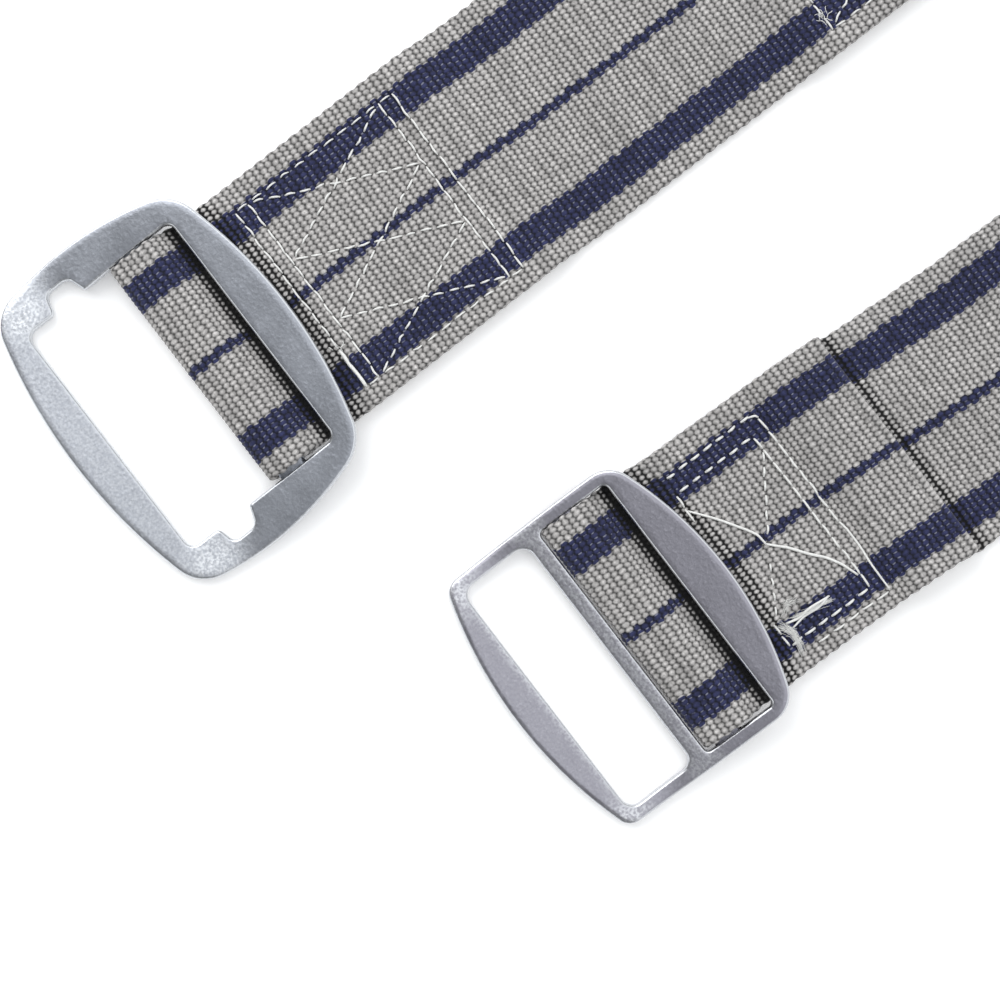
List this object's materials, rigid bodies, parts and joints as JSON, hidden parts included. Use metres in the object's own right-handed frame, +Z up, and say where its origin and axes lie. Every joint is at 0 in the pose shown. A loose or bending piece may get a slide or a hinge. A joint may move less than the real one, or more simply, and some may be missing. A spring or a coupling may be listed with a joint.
{
  "type": "gait belt",
  "caption": "Gait belt: striped 50 mm webbing with a pass-through buckle, a stamped frame sewn to one end and a stamped slider plate to the other, spare length folded flat.",
  "frame": {"origin": "on the surface that the belt lies on, under the middle of the belt's bounding box", "axes": "+X along the two ends of the belt, away from the buckles; +Y across them, from the slider plate's end towards the frame's end; +Z up from the surface"},
  "size_m": [0.2548, 0.1898, 0.015],
  "materials": {
    "zinc_plated_steel": "satin zinc plating",
    "webbing": "coarse plain weave, warm grey with navy stripes",
    "thread": "white sewing thread"
  },
  "bodies": {
    "belt": {"buckle_tab_webbing": "webbing", "belt_female_leg": "webbing", "belt_folded_length": "webbing", "belt_male_leg": "webbing", "belt_male_flap": "webbing", "female_box_seams": "thread", "female_zigzag_seams": "thread", "lap_box_seams": "thread", "lap_zigzag_seams": "thread", "male_box_seams": "thread", "male_cross_seam": "thread"},
    "female_buckle": {"female_frame": "zinc_plated_steel", "female_webbing_loop": "webbing"},
    "male_buckle": {"male_plate": "zinc_plated_steel", "male_webbing_loop": "webbing"}
  },
  "joints": [
    {"name": "female_buckle_flex", "type": "hinge", "parent": "belt", "child": "female_buckle", "pos_m": [-0.0753, 0.0447, 0.0036], "axis": [0, 1, 0], "range_deg": [0, 90]},
    {"name": "male_buckle_flex", "type": "hinge", "parent": "belt", "child": "male_buckle", "pos_m": [-0.0411, -0.0447, 0.0036], "axis": [0, 1, 0], "range_deg": [0, 90]}
  ]
}
